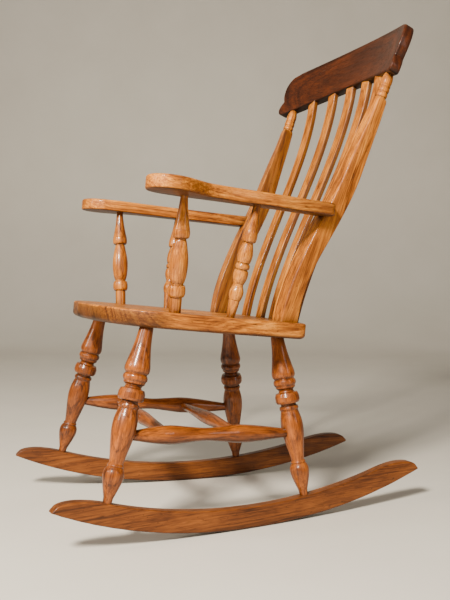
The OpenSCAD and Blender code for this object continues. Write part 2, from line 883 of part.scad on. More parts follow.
// Rows up a rear arm spindle of visible length l
function arm_spindle_rows(l) = let (r = arm_spindle_d / 2) concat(
    smooth([[-seat_socket_depth, spindle_foot_d / 2], [0, spindle_foot_d / 2], [0.09 * l, 0.66 * r],
            [0.16 * l, 0.74 * r]], 4),
    smooth([[0.165 * l, 0.8 * r], [0.2 * l, 0.94 * r], [0.235 * l, 0.96 * r], [0.262 * l, 0.84 * r],
            [0.285 * l, 0.7 * r], [0.305 * l, 0.68 * r]], 4),
    smooth([[0.31 * l, 0.72 * r], [0.35 * l, 0.93 * r], [0.39 * l, 1.0 * r], [0.425 * l, 0.93 * r]], 4),
    [[0.43 * l, 0.78 * r], [0.438 * l, 0.78 * r]],
    smooth([[0.441 * l, 0.9 * r], [0.462 * l, 0.98 * r], [0.483 * l, 0.9 * r]], 3),
    [[0.486 * l, 0.78 * r], [0.494 * l, 0.78 * r]],
    smooth([[0.499 * l, 0.88 * r], [0.55 * l, 1.0 * r], [0.6 * l, 0.94 * r], [0.66 * l, 0.72 * r]], 4),
    [[0.664 * l, 0.68 * r], [0.676 * l, 0.68 * r]],
    smooth([[0.68 * l, 0.88 * r], [0.7 * l, 1.0 * r], [0.75 * l, 0.99 * r], [0.775 * l, 0.92 * r]], 3),
    smooth([[0.785 * l, 0.88 * r], [0.85 * l, 0.72 * r], [0.93 * l, 0.56 * r], [l, spindle_neck_d / 2],
            [l + arm_socket_depth, spindle_neck_d / 2]], 4)
);

module arm_spindle() {
    aim(spindle_foot, spindle_head)
        turned(arm_spindle_rows(norm(spindle_head - spindle_foot)));
}

module arm_spindle_left() {
    color(oak) arm_spindle();
}

module arm_spindle_right() {
    color(oak) right_side() arm_spindle();
}

// ---------- Arm screws ----------

// A pocket screw from the inner face of the post, slanting forward into the tail of the arm
screw_d = 5;
screw_head_d = 9;
screw_head_length = 4;
screw_length = 58;
screw_pocket = 8;
pocket_reach = 20;
screw_start = post_at(0.425) + [-post_thickness / 2, 14, 0];
screw_run = [40, -56, 10];
module in_screw_frame() {
    in_post_frame()
        aim(screw_start, screw_start + screw_run)
            children();
}

module arm_screw() {
    in_screw_frame()
        turned([[screw_pocket, screw_head_d / 2], [screw_pocket + screw_head_length, screw_d / 2],
                [screw_pocket + screw_length, screw_d / 2]]);
}

// The stepped hole that the screw sits in, open at the inner face of the post
module arm_screw_hole() {
    in_screw_frame()
        turned([[-pocket_reach, screw_head_d / 2 + fit_gap], [screw_pocket, screw_head_d / 2 + fit_gap],
                [screw_pocket + screw_head_length, screw_d / 2 + fit_gap],
                [screw_pocket + screw_length + fit_gap, screw_d / 2 + fit_gap]]);
}

module arm_screws() {
    color(steel) both_sides() arm_screw();
}

// ---------- Output ----------

seat();
rocker_left();
rocker_right();
front_leg_left();
front_leg_right();
rear_leg_left();
rear_leg_right();
side_stretcher_left();
side_stretcher_right();
front_cross_stretcher();
rear_cross_stretcher();
back_post_left();
back_post_right();
slat(-2);  // slat_1
slat(-1);  // slat_2
slat(0);  // slat_3
slat(1);  // slat_4
slat(2);  // slat_5
crest_rail();
crest_pegs();
arm_left();
arm_right();
arm_post_left();
arm_post_right();
arm_spindle_left();
arm_spindle_right();
rocker_pegs();
arm_screws();
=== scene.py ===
import math

import bpy
import numpy as np
from mathutils import Matrix, Vector


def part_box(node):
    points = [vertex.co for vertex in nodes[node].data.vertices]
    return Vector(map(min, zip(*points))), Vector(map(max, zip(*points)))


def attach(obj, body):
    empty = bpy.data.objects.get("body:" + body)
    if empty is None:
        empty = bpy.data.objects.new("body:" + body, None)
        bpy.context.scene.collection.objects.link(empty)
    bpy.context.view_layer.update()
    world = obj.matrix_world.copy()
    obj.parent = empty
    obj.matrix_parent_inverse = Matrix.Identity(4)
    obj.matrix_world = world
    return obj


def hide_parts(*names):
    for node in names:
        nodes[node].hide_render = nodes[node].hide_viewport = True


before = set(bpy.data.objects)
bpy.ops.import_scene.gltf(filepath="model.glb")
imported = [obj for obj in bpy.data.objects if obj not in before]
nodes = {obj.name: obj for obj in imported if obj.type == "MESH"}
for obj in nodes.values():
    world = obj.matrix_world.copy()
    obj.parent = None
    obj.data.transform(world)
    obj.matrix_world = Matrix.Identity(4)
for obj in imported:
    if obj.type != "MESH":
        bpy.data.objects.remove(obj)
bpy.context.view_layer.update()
MM = 0.001

# ---------- Camera ----------

LENS_MM = 46.86
SENSOR_MM = 36
NEAR = 0.05
FAR = 50
YAW = math.radians(67.73)
PITCH = math.radians(2.2)
ROLL = math.radians(0.38)
EYE = Vector((1.7084, -0.6885, 0.5477))


def make_camera():
    forward = Vector((
        -math.sin(YAW) * math.cos(PITCH),
        math.cos(YAW) * math.cos(PITCH),
        -math.sin(PITCH),
    ))
    level = Vector((math.cos(YAW), math.sin(YAW), 0))
    upright = level.cross(forward)
    right = math.cos(ROLL) * level + math.sin(ROLL) * upright
    up = -math.sin(ROLL) * level + math.cos(ROLL) * upright
    data = bpy.data.cameras.new("camera")
    data.lens = LENS_MM
    data.sensor_width = SENSOR_MM
    data.clip_start = NEAR
    data.clip_end = FAR
    camera = bpy.data.objects.new("camera", data)
    turn = Matrix((right, up, -forward)).transposed()
    camera.matrix_world = Matrix.Translation(EYE) @ turn.to_4x4()
    bpy.context.collection.objects.link(camera)
    bpy.context.scene.camera = camera


make_camera()

# ---------- Sizes in millimetres and degrees, the same as in the CAD ----------

# Rocker: half its length, radius of its underside, y of its lowest point, depth and the depth's
# growth per millimetre toward the back, distance between the pair, angle that it opens toward the
# front, extra lift of both tips, the part of it that goes from the back tip to the front one, and
# lengths of the rounded noses
ROCKER = dict(half=443, radius=1290, low=6, depth=46, growth=0.007, gauge=407, toe=5.3, thick=24,
              tip_lift=7.5, front_lift=4.6, front_nose=105, back_nose=110, tip_thick=3)
# Seat: height of its top at y = 0, slope down toward the back, half its width
SEAT = dict(height=443, tilt=5.5, half=245, thick=34)
# Round hollow in the seat: y of its middle, radii where it starts and where it is full
SADDLE = dict(middle=-110, start=175, full=105, deep=5)
# Back post: x and y of its foot on the seat, its tip, its turn about the upright, the share of its
# length where the turned top begins, radius of the neck that goes into the crest
POST = dict(base=(189, 74), tip=(231, 309.5, 992), toe=5, thick=42, turned=0.885, neck=6.5)
# Crest rail: lean, radius of its bow seen from above, radius of its arch seen from the front
CREST = dict(lean=22.3, bow=823, arch=767, origin=(0, 349.5, 1003), half=278, height=118, thick=25,
             arris=5)
# Slats: steps from one to the next on the seat and at the crest, y of the middle one's foot, and
# how the feet curve forward to the sides
SLAT = dict(width=33, thick=12, seat_gap=66, crest_gap=80, foot=137, bow=1300)
# Arm: slope down toward the back, height and y of its top's front end
ARM = dict(tilt=4.9, top=720, front=-179, thick=27)
# Least height above the floor of the rockers' undersides
CLEAR = 0.05
# How much darker the posts' inner faces are painted, as painted shade, and how much darker the slats' sides
# and the arms' tails are made
POST_INNER_SHADE = 0.7
SLAT_SIDE_DARKENING = 0.75
ARM_TAIL_DARKENING = 0.5


def seat_top(y):
    return SEAT["height"] - y * math.tan(math.radians(SEAT["tilt"]))


# ---------- Curves and outlines ----------

def fade(value, start, end):
    """0 up to start, 1 from end on, and even between them."""
    return np.clip((value - start) / (end - start), 0, 1)


def spline(points, steps):
    """Catmull-Rom curve through the points."""
    p = [np.array(q, float) for q in points]
    out = []
    for i in range(len(p) - 1):
        a, b, c, d = p[max(i - 1, 0)], p[i], p[i + 1], p[min(i + 2, len(p) - 1)]
        for k in range(steps):
            t = k / steps
            out.append(0.5 * (2 * b + (c - a) * t + (2 * a - 5 * b + 4 * c - d) * t * t
                              + (3 * b - a - 3 * c + d) * t ** 3))
    out.append(p[-1])
    return np.array(out)


def resample(loop, spacing):
    """The closed loop again, with points at an even spacing."""
    loop = np.asarray(loop, float)
    ends = np.vstack([loop, loop[:1]])
    run = np.concatenate([[0], np.cumsum(np.linalg.norm(np.diff(ends, axis=0), axis=1))])
    count = max(16, int(round(run[-1] / spacing)))
    at = np.linspace(0, run[-1], count, endpoint=False)
    return np.stack([np.interp(at, run, ends[:, k]) for k in range(loop.shape[1])], axis=1)


def anticlockwise(loop):
    x, y = loop[:, 0], loop[:, 1]
    area = np.sum(x * np.roll(y, -1) - y * np.roll(x, -1))
    return loop if area > 0 else loop[::-1]


def inward(loop):
    """Unit normals into an anticlockwise closed loop of [x, y] points."""
    d = np.roll(loop, -1, axis=0) - np.roll(loop, 1, axis=0)
    d = d / np.linalg.norm(d, axis=1)[:, None]
    return np.stack([-d[:, 1], d[:, 0]], axis=1)


def waver(points, size, seed, wave):
    """Small smooth unevenness of hand-worked wood, as one number per point, from a few sines."""
    rng = np.random.default_rng(seed)
    p = np.asarray(points, float)
    total = np.zeros(len(p))
    for k in range(6):
        direction = rng.normal(size=3)
        direction /= np.linalg.norm(direction)
        length = wave * (1 + 1.7 * k)
        total += np.sin(p @ direction * MM * 2 * math.pi / length + rng.uniform(0, 6.28))
    return size * total / 3


def turn_x(points, degrees):
    """The points turned about the x axis."""
    a = math.radians(degrees)
    x, y, z = np.asarray(points, float).T
    return np.column_stack([x, y * math.cos(a) - z * math.sin(a), y * math.sin(a) + z * math.cos(a)])


def turn_z(points, degrees):
    """The points turned about the z axis."""
    a = math.radians(degrees)
    x, y, z = np.asarray(points, float).T
    return np.column_stack([x * math.cos(a) - y * math.sin(a), x * math.sin(a) + y * math.cos(a), z])


# ---------- Mesh building ----------

SHARP = math.radians(35)


def add_mesh(name, points, faces):
    mesh = bpy.data.meshes.new(name)
    mesh.from_pydata([tuple(p) for p in np.asarray(points) * MM], [], faces)
    mesh.validate()
    mesh.update()
    for polygon in mesh.polygons:
        polygon.use_smooth = True
    mesh.set_sharp_from_angle(angle=SHARP)
    piece = bpy.data.objects.new(name, mesh)
    bpy.context.collection.objects.link(piece)
    return piece


def stain_and_shade(piece, amounts):
    """Mark how much darker each point is painted, from 0 to 1, for worn finish and for painted shade."""
    layer = piece.data.attributes.new("stain_and_shade", "FLOAT", "POINT")
    layer.data.foreach_set("value", np.asarray(amounts, np.float32))


def skin(rings):
    """Points and faces of a tube through equal rings, with one face across each end."""
    n = len(rings[0])
    faces = []
    for j in range(len(rings) - 1):
        for i in range(n):
            k = (i + 1) % n
            faces.append((j * n + i, j * n + k, (j + 1) * n + k, (j + 1) * n + i))
    faces.append(tuple(range(n - 1, -1, -1)))
    last = (len(rings) - 1) * n
    faces.append(tuple(range(last, last + n)))
    return np.vstack(rings), faces


def flipped(faces):
    """The same faces, looking the other way."""
    return [tuple(reversed(f)) for f in faces]


def round_rect(half_w, half_h, radii):
    """A rectangle's outline with a radius for each corner: ++, -+, --, +-."""
    steps = 5
    out = []
    corners = ((1, 1, 0), (-1, 1, 90), (-1, -1, 180), (1, -1, 270))
    for (sx, sy, start), r in zip(corners, radii):
        cx, cy = sx * (half_w - r), sy * (half_h - r)
        for k in range(steps + 1):
            a = math.radians(start + 90 * k / steps)
            out.append((cx + r * math.cos(a), cy + r * math.sin(a)))
    return np.array(out)


def edge_steps(thick, top, bottom, steps):
    """(inset, height) pairs from the underside's flat, round both arrises, to the top's flat.
    top and bottom are (inset, height) sizes of the rounding."""
    angles = [math.radians(90 * k / steps) for k in range(steps + 1)]
    lower = [(bottom[0] * (1 - math.sin(a)), bottom[1] * (1 - math.cos(a))) for a in angles]
    upper = [(top[0] * (1 - math.cos(a)), thick - top[1] * (1 - math.sin(a))) for a in angles]
    return lower + upper


def board(loop, thick, top, bottom, unevenness, seed):
    """Rings of a board with this outline, from its underside at height 0 to its top."""
    loop = anticlockwise(loop)
    normals = inward(loop)
    rough = waver(np.column_stack([loop, np.zeros(len(loop))]), unevenness, seed, 0.03)
    rough = np.maximum(rough, 0)[:, None]
    rings = []
    for inset, height in edge_steps(thick, top, bottom, 5):
        moved = loop + normals * (inset + rough * (0.3 + 0.7 * height / thick))
        rings.append(np.column_stack([moved, np.full(len(loop), height)]))
    return rings


def pair(stem, points, faces):
    """The left piece and its mirrored right one, each standing for its CAD node."""
    mirrored = points * np.array([-1, 1, 1])
    left = add_mesh(stem + "_left_wood", points, faces)
    right = add_mesh(stem + "_right_wood", mirrored, flipped(faces))
    for piece, side in ((left, "left"), (right, "right")):
        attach(piece, "root")
        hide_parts(f"{stem}_{side}")
    return left, right


# ---------- Rockers ----------

def rocker_bottom(s):
    """Height of the underside at s, which runs along the rocker from its front to its back."""
    u = s - ROCKER["low"]
    v = u / ROCKER["half"]
    rise = u * u / (2 * ROCKER["radius"])
    return max(rise + ROCKER["tip_lift"] * v ** 4 - ROCKER["front_lift"] * v ** 3, CLEAR)


def rocker_slope(s):
    return math.atan((rocker_bottom(s + 1) - rocker_bottom(s - 1)) / 2)


def rocker_deep(s):
    nose = ROCKER["front_nose"] if s < 0 else ROCKER["back_nose"]
    into = max(0, (abs(s) - ROCKER["half"] + nose) / nose)
    full = ROCKER["depth"] + ROCKER["growth"] * s
    tip = ROCKER["tip_thick"]
    return tip + (full - tip) * math.sqrt(1 - min(1, into ** 2))


def rocker_top_point(s):
    a = rocker_slope(s)
    deep = rocker_deep(s)
    return s - math.sin(a) * deep, rocker_bottom(s) + math.cos(a) * deep


def make_rockers():
    half = ROCKER["half"]
    stations = np.linspace(-half, half, 180)
    under = [(s, rocker_bottom(s)) for s in stations]
    over = [rocker_top_point(s) for s in reversed(stations)]
    loop = resample(np.array(under + over), 5)
    flat, faces = skin(board(loop, ROCKER["thick"], (3, 3), (3, 3), 0.5, 3))
    along, up, across = flat[:, 0], flat[:, 1], flat[:, 2] - ROCKER["thick"] / 2
    points = turn_z(np.column_stack([across, along, np.maximum(up, CLEAR)]), ROCKER["toe"])
    return pair("rocker", points + (ROCKER["gauge"] / 2, 0, 0), faces)


rockers = make_rockers()

# ---------- Seat ----------

def seat_loop():
    w = SEAT["half"]
    front = spline([
        (0, -338), (0.41 * w, -328), (0.72 * w, -300), (0.91 * w, -255), (0.985 * w, -190),
        (w, -110), (0.985 * w, -20), (0.955 * w, 50), (0.94 * w, 94),
    ], 6)
    back = spline([(0.93 * w, 104), (0.88 * w, 113), (0.6 * w, 142), (0.3 * w, 157), (0, 162)], 5)
    half = np.vstack([front, back])
    return np.vstack([half, half[-2:0:-1] * np.array([-1, 1])])


def saddle(x, y):
    """Depth of the hollow worked into the seat's top."""
    t = fade(np.hypot(x, y - SADDLE["middle"]), SADDLE["start"], SADDLE["full"])
    return SADDLE["deep"] * t * t * (3 - 2 * t)


def make_seat():
    loop = resample(seat_loop(), 7)
    rings = board(loop, SEAT["thick"], (4, 4), (14, 9), 0.9, 5)
    # smaller and smaller rings fill the top, so that the hollow has points to bend at
    rim = rings[-1]
    centre = np.array([0, -105, SEAT["thick"]])
    for share in np.linspace(0.965, 0.03, 34):
        rings.append(centre + (rim - centre) * share)
    points, faces = skin(rings)
    points[:, 2] -= SEAT["thick"]
    on_top = points[:, 2] > -0.01
    points[on_top, 2] -= saddle(points[on_top, 0], points[on_top, 1])
    piece = add_mesh("seat_wood", turn_x(points, -SEAT["tilt"]) + (0, 0, SEAT["height"]), faces)
    # hands and legs have darkened the front of the rim
    stain_and_shade(piece, fade(points[:, 2], -2, -5) * fade(points[:, 1], -180, -230))
    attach(piece, "root")
    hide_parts("seat")
    return piece


seat = make_seat()

# ---------- Back posts ----------

# Shares of the post's length, and there the middle's way back as a share of the whole lean
POST_AT = [-0.1, 0, 0.08, 0.16, 0.24, 0.32, 0.4, 0.48, 0.56, 0.64, 0.72, 0.8, 0.9, 1]
POST_MID = [-0.015, 0, 0.033, 0.095, 0.18, 0.282, 0.388, 0.49, 0.58, 0.658, 0.738, 0.82, 0.91, 1]
# Shares of the post's length, and there the width seen from the side
POST_WIDE_AT = [-0.1, 0, 0.08, 0.16, 0.24, 0.32, 0.4, 0.48, 0.56, 0.64, 0.72, 0.8, 0.88]
POST_WIDE = [45, 44, 41.5, 41, 43.5, 47.5, 49.5, 48, 45, 41, 36, 31, 27.5]
# From half its length up the post gets thinner, by 7.5 mm on each side over 0.4 of its length
POST_TAPER = 7.5 / 0.4
# Just under the turned top the sawn part closes in by this much, over this share of the length
POST_CLOSING = 1.6
POST_CLOSING_RUN = 0.012
# The post's foot, and the way from it to the tip in the post's own frame
POST_FOOT = np.array([*POST["base"], seat_top(POST["base"][1])])
POST_LEAN = turn_z([np.array(POST["tip"]) - POST_FOOT], -POST["toe"])[0]


def smooth_lookup(t, at, values):
    """The CAD's curve through the stations, which it draws with Catmull-Rom between steps of 0.08."""
    stations = np.arange(-0.08, 0.97, 0.08)
    rows = spline([(s, np.interp(s, at, values)) for s in stations], 8)
    return np.interp(t, rows[:, 0], rows[:, 1])


def post_at(t):
    """A point on the turned top's middle line, in the post's own frame."""
    return POST_LEAN * (t, np.interp(t, POST_AT, POST_MID), t)


def sawn_rings(axis):
    """Rings of the sawn part, and for each of their points whether it is on the inner face."""
    end = POST["turned"]
    rings = []
    inner = []
    for t in [*np.linspace(-0.03, end - POST_CLOSING_RUN, 66), end - 0.004, end]:
        half_x = POST["thick"] / 2 - POST_TAPER * max(0, t - 0.5)
        half_y = smooth_lookup(t, POST_WIDE_AT, POST_WIDE) / 2
        closing = POST_CLOSING * max(0, 1 - (end - t) / POST_CLOSING_RUN) ** 2
        outline = round_rect(half_x - closing, half_y - closing, (3.5, 3, 3, 5.5))
        inner.append(outline[:, 0] < -half_x + closing + 0.7)
        centre = np.array([t, smooth_lookup(t, POST_AT, POST_MID)]) * POST_LEAN[:2]
        ring = np.column_stack([outline + centre, np.full(len(outline), t * POST_LEAN[2])])
        # the rings are level at the foot and square to the turned top's axis at the end
        square = fade(t, 0.45, end)
        rise = -square * (outline @ axis[:2]) / axis[2]
        ring[:, 2] += rise
        ring[:, :2] += np.outer(rise, square * axis[:2] / axis[2])
        rings.append(ring)
    return rings, np.concatenate(inner)


def post_top_profile(length):
    """Rows of (height, radius) of the turned top: two beads and a thin ring between grooves, then a cone."""
    def rows(*points):
        return [(h * length, r) for h, r in points]
    def curve(*points):
        return [tuple(r) for r in spline(rows(*points), 5)]
    return (
        [(-4, 12.6), (0, 12.6)] + rows((0.015, 11.6), (0.04, 11.6))
        + curve((0.05, 12.8), (0.115, 13.6), (0.18, 12.8)) + rows((0.19, 11.8), (0.22, 11.8))
        + curve((0.23, 12.8), (0.295, 13.6), (0.36, 12.8)) + rows((0.37, 12), (0.395, 12))
        + curve((0.4, 12.6), (0.43, 13.2), (0.46, 12.6)) + rows((0.47, 12), (0.485, 12))
        + curve((0.5, 12.6), (0.6, 13), (0.74, 11.6), (0.88, 8.8), (1, POST["neck"]))
        + [(length + 20, POST["neck"])]
    )


def around(axis, count):
    """Unit vectors all round an axis and square to it."""
    side = np.cross(axis, [0, 0, 1])
    side /= np.linalg.norm(side)
    up = np.cross(side, axis)
    angles = np.linspace(0, 2 * math.pi, count, endpoint=False)
    return np.outer(np.cos(angles), up) + np.outer(np.sin(angles), side)


def make_posts():
    low, top = post_at(POST["turned"]), post_at(1)
    length = np.linalg.norm(top - low)
    axis = (top - low) / length
    rings, inner = sawn_rings(axis)
    sawn, sawn_faces = skin(rings)
    spokes = around(axis, 48)
    turned = [low + axis * height + radius * spokes for height, radius in post_top_profile(length)]
    turned, turned_faces = skin(turned)
    faces = sawn_faces + [tuple(i + len(sawn) for i in face) for face in turned_faces]
    points = turn_z(np.vstack([sawn, turned]), POST["toe"]) + POST_FOOT
    left, right = pair("back_post", points, faces)
    # painted shade on the posts' inner faces
    amounts = POST_INNER_SHADE * np.concatenate([inner, np.zeros(len(turned))])
    stain_and_shade(left, amounts)
    stain_and_shade(right, amounts)
    return left, right


posts = make_posts()

# ---------- Crest rail ----------

def arch(x):
    return CREST["arch"] - np.sqrt(CREST["arch"] ** 2 - np.square(x))


def from_crest_frame(points):
    return turn_x(points, -CREST["lean"]) + CREST["origin"]


def crest_loop():
    """Outline of the crest's face, seen from the front."""
    w, h = CREST["half"], CREST["height"]
    under_end, over_end = 0.92 * w, 0.885 * w
    low = -arch(under_end)
    high = h - arch(over_end) - 2
    # each end has two curves, which meet in the notch
    end = np.vstack([
        spline([(under_end, low), (0.965 * w, low - 2), (0.99 * w, low + 8), (0.985 * w, low + 22),
                (0.962 * w, low + 36)], 6),
        spline([(0.972 * w, low + 40), (0.994 * w, low + 56), (w, low + 78), (0.98 * w, low + 97),
                (0.943 * w, high - 8), (over_end, high)], 6),
    ])
    under = [(x, -arch(x)) for x in np.linspace(-under_end, under_end, 60)[1:-1]]
    over = [(x, h - arch(x)) for x in np.linspace(over_end, -over_end, 60)[1:-1]]
    loop = np.vstack([under, end, over, end[::-1] * np.array([-1, 1])])
    return anticlockwise(resample(loop, 4))


def make_crest():
    face = crest_loop()
    normals = inward(face)
    half = CREST["thick"] / 2
    arris = CREST["arris"]

    def place(flat, v):
        """Points of the flat face, bent to the rail's bow at v through its thickness."""
        x, z = flat[:, 0], flat[:, 1]
        y = np.sqrt((CREST["bow"] + v) ** 2 - x * x) - CREST["bow"]
        return np.column_stack([x, y, z])

    def shrunk(share):
        """The outline inside its arris, drawn in toward the face's middle along the arch."""
        inner = face + normals * arris
        inner[:, 1] += arch(inner[:, 0])
        middle_z = CREST["height"] / 2
        x = inner[:, 0] * share
        return np.column_stack([x, middle_z + (inner[:, 1] - middle_z) * share - arch(x)])

    rings = [place(shrunk(share), -half) for share in np.linspace(0.02, 0.97, 26)]
    for inset, height in edge_steps(CREST["thick"], (arris, arris), (arris, arris), 6):
        rings.append(place(face + normals * inset, height - half))
    rings += [place(shrunk(share), half) for share in np.linspace(0.97, 0.02, 26)]
    points, faces = skin(rings)
    piece = add_mesh("crest_rail_wood", from_crest_frame(points), flipped(faces))
    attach(piece, "root")
    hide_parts("crest_rail")
    return piece


crest = make_crest()

# ---------- Slats ----------

def slat_ends(k):
    """Foot and head of the slat that is k places to the left of the middle one."""
    x = k * SLAT["seat_gap"]
    y = SLAT["foot"] - x * x / SLAT["bow"]
    foot = np.array([x, y, seat_top(y)])
    x = k * SLAT["crest_gap"]
    head = np.array([[x, -x * x / (2 * CREST["bow"]), -float(arch(x))]])
    return foot, from_crest_frame(head)[0]


def slat_lean(t):
    """How far back the slat is at a share t of its height, as a share of its whole lean."""
    return 0.5 * t + 0.5 * (3 * t * t - 2 * t ** 3) + 0.08 * t * (1 - t)


def make_slat(k, name):
    foot, head = slat_ends(k)
    d = head - foot
    ts = np.linspace(-0.02, 1.01, 48)
    spine = np.column_stack([slat_lean(ts) * d[1], ts * d[2]])
    tangent = np.gradient(spine, axis=0)
    tangent /= np.linalg.norm(tangent, axis=1)[:, None]
    outline = round_rect(SLAT["width"] / 2, SLAT["thick"] / 2, (2, 2, 3, 3))
    rough = waver(np.column_stack([spine, np.zeros(len(spine))]), 0.25, 20 + k, 0.12)
    rings = []
    for (y, z), (ty, tz), r in zip(spine, tangent, rough):
        across = outline[:, 0] * (1 - abs(r) / 20)
        through = outline[:, 1]
        ring = np.column_stack([across, y + through * tz, z - through * ty])
        ring[:, 0] += ring[:, 2] * d[0] / d[2]
        rings.append(ring + foot)
    points, faces = skin(rings)
    piece = add_mesh(name + "_wood", points, faces)
    # the slats' narrow sides are painted darker
    on_side = np.abs(outline[:, 0]) > SLAT["width"] / 2 - 0.9
    stain_and_shade(piece, np.tile(SLAT_SIDE_DARKENING * on_side, len(rings)))
    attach(piece, "root")
    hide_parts(name)
    return piece


slats = [make_slat(k, f"slat_{k + 3}") for k in range(-2, 3)]

# ---------- Arms ----------

def arm_loop():
    """Outline of the left arm seen from above, with y measured along its slope from the arm's front."""
    inner = spline([
        (205, 345), (206, 325), (211, 285), (218, 225), (222, 150), (223.5, 80), (223, 0), (229, -46),
    ], 5)
    paddle = spline([
        (229, -46), (246, -73), (276, -86), (306, -84), (327, -65), (332, -36), (322, -8),
    ], 6)
    outer = spline([
        (322, -8), (304, 18), (288, 44), (281, 80), (276, 130), (269, 210), (263, 280), (259, 330),
    ], 5)
    tail = spline([(259, 330), (257, 338), (250, 342), (240, 345)], 3)
    return np.vstack([inner[:-1], paddle[:-1], outer[:-1], tail])


def make_arms():
    loop = resample(arm_loop(), 3.5)
    points, faces = skin(board(loop, ARM["thick"], (5, 5), (4.5, 4.5), 0.5, 9))
    points[:, 2] -= ARM["thick"]
    placed = turn_x(points, -ARM["tilt"]) + (0, ARM["front"], ARM["top"])
    left, right = pair("arm", placed, faces)
    # the arms are painted darker toward the tails
    amounts = ARM_TAIL_DARKENING * fade(points[:, 1], 170, 340)
    stain_and_shade(left, amounts)
    stain_and_shade(right, amounts)
    return left, right


arms = make_arms()

# ---------- Wood ----------

class Nodes:
    """Short calls for building a shader."""

    def __init__(self, material):
        material.use_nodes = True
        self.tree = material.node_tree
        self.tree.nodes.clear()

    def add(self, kind, inputs=None, **settings):
        node = self.tree.nodes.new(kind)
        for key, value in settings.items():
            setattr(node, key, value)
        for key, value in (inputs or {}).items():
            socket = node.inputs[key]
            if isinstance(value, bpy.types.NodeSocket):
                self.tree.links.new(value, socket)
            else:
                socket.default_value = value
        return node

    def math(self, operation, a, b, clamp=False):
        return self.add("ShaderNodeMath", {0: a, 1: b}, operation=operation, use_clamp=clamp).outputs[0]

    def total(self, *terms):
        """Sum of (weight, value) terms."""
        out = None
        for weight, value in terms:
            part = self.math("MULTIPLY", value, weight)
            out = part if out is None else self.math("ADD", out, part)
        return out

    def vector(self, operation, a, b):
        return self.add("ShaderNodeVectorMath", {0: a, 1: b}, operation=operation).outputs[0]

    def noise(self, vector, size, detail, rough, output=0):
        """Noise with size cells to the metre along each of the vector's axes."""
        return self.add("ShaderNodeTexNoise", {
            "Vector": self.vector("MULTIPLY", vector, size), "Scale": 1.0, "Detail": detail,
            "Roughness": rough,
        }).outputs[output]

    def wobble(self, vector, size, reach):
        """Small moves across the grain, of up to about half of reach."""
        colour = self.noise(vector, size, 2.0, 0.5, output=1)
        return self.vector("MULTIPLY", self.vector("SUBTRACT", colour, (0.5, 0.5, 0.5)), (0, reach, reach))

    def ramp(self, factor, stops):
        """A colour ramp through (place, colour) stops."""
        node = self.add("ShaderNodeValToRGB", {0: factor})
        band = node.color_ramp
        while len(band.elements) > 1:
            band.elements.remove(band.elements[-1])
        band.elements[0].position, band.elements[0].color = stops[0][0], (*stops[0][1], 1)
        for place, colour in stops[1:]:
            element = band.elements.new(place)
            element.color = (*colour, 1)
        return node.outputs[0]

    def grey_ramp(self, factor, stops):
        """A ramp through (place, value) stops."""
        return self.ramp(factor, [(place, (value,) * 3) for place, value in stops])

    def mix(self, factor, a, b):
        return self.add("ShaderNodeMix", {0: factor, 6: a, 7: b}, data_type="RGBA").outputs[2]


def srgb(*rgb):
    return tuple(((c / 255 + 0.055) / 1.055) ** 2.4 if c > 10 else c / 255 / 12.92 for c in rgb)


def darker(colour, share):
    return (*[share * c for c in colour], 1)


# Light wood, main tone, late-wood line and deep tone of each finish
PALETTES = {
    "oak": [srgb(220, 142, 48), srgb(168, 96, 24), srgb(116, 59, 13), srgb(56, 26, 5)],
    # The turned legs and stretchers and the rockers get darker tones: partly darker wood, partly painted
    # shade for the dimmer light low down
    "turned_oak": [srgb(172, 92, 25), srgb(128, 64, 14), srgb(86, 40, 8), srgb(40, 17, 3)],
    "crest_oak": [srgb(84, 38, 11), srgb(62, 27, 8), srgb(44, 18, 5), srgb(24, 9, 2)],
    "rocker_oak_and_shade": [srgb(146, 82, 28), srgb(110, 58, 17), srgb(76, 37, 10), srgb(38, 17, 4)],
}
# Weights of the figure's parts, and what is taken off their sum so that it lies between 0 and 1
YEAR_WEIGHT = 0.3
STREAK_WEIGHT = 1.0
FIBRE_WEIGHT = 0.45
CLOUD_WEIGHT = 0.8
TONE_SHIFT = 0.76
# How far, in metres, the rings bend slowly and tremble finely
BEND_REACH = 0.03
TREMBLE_REACH = 0.003
# How far pores and specks go toward the deep tone
PORE_DEPTH = 0.6
# The deep tone's share in the colour of the painted shade in corners, and of the darkened finish and painted
# shade on the undersides
CREVICE_SHADE_TONE = 0.3
SHADE_AND_STAIN_TONE = 0.55
# Painted shade darkens where another surface is nearer than this
CREVICE_SHADE_REACH = 0.024
VARNISH_IOR = 1.5


def grain_axes(along, flat):
    """Turn of the object's axes to the wood's own: along the grain, across the face, out of the face."""
    along = Vector(along).normalized()
    side = Vector(flat).cross(along).normalized()
    return Matrix((along, side, along.cross(side)))


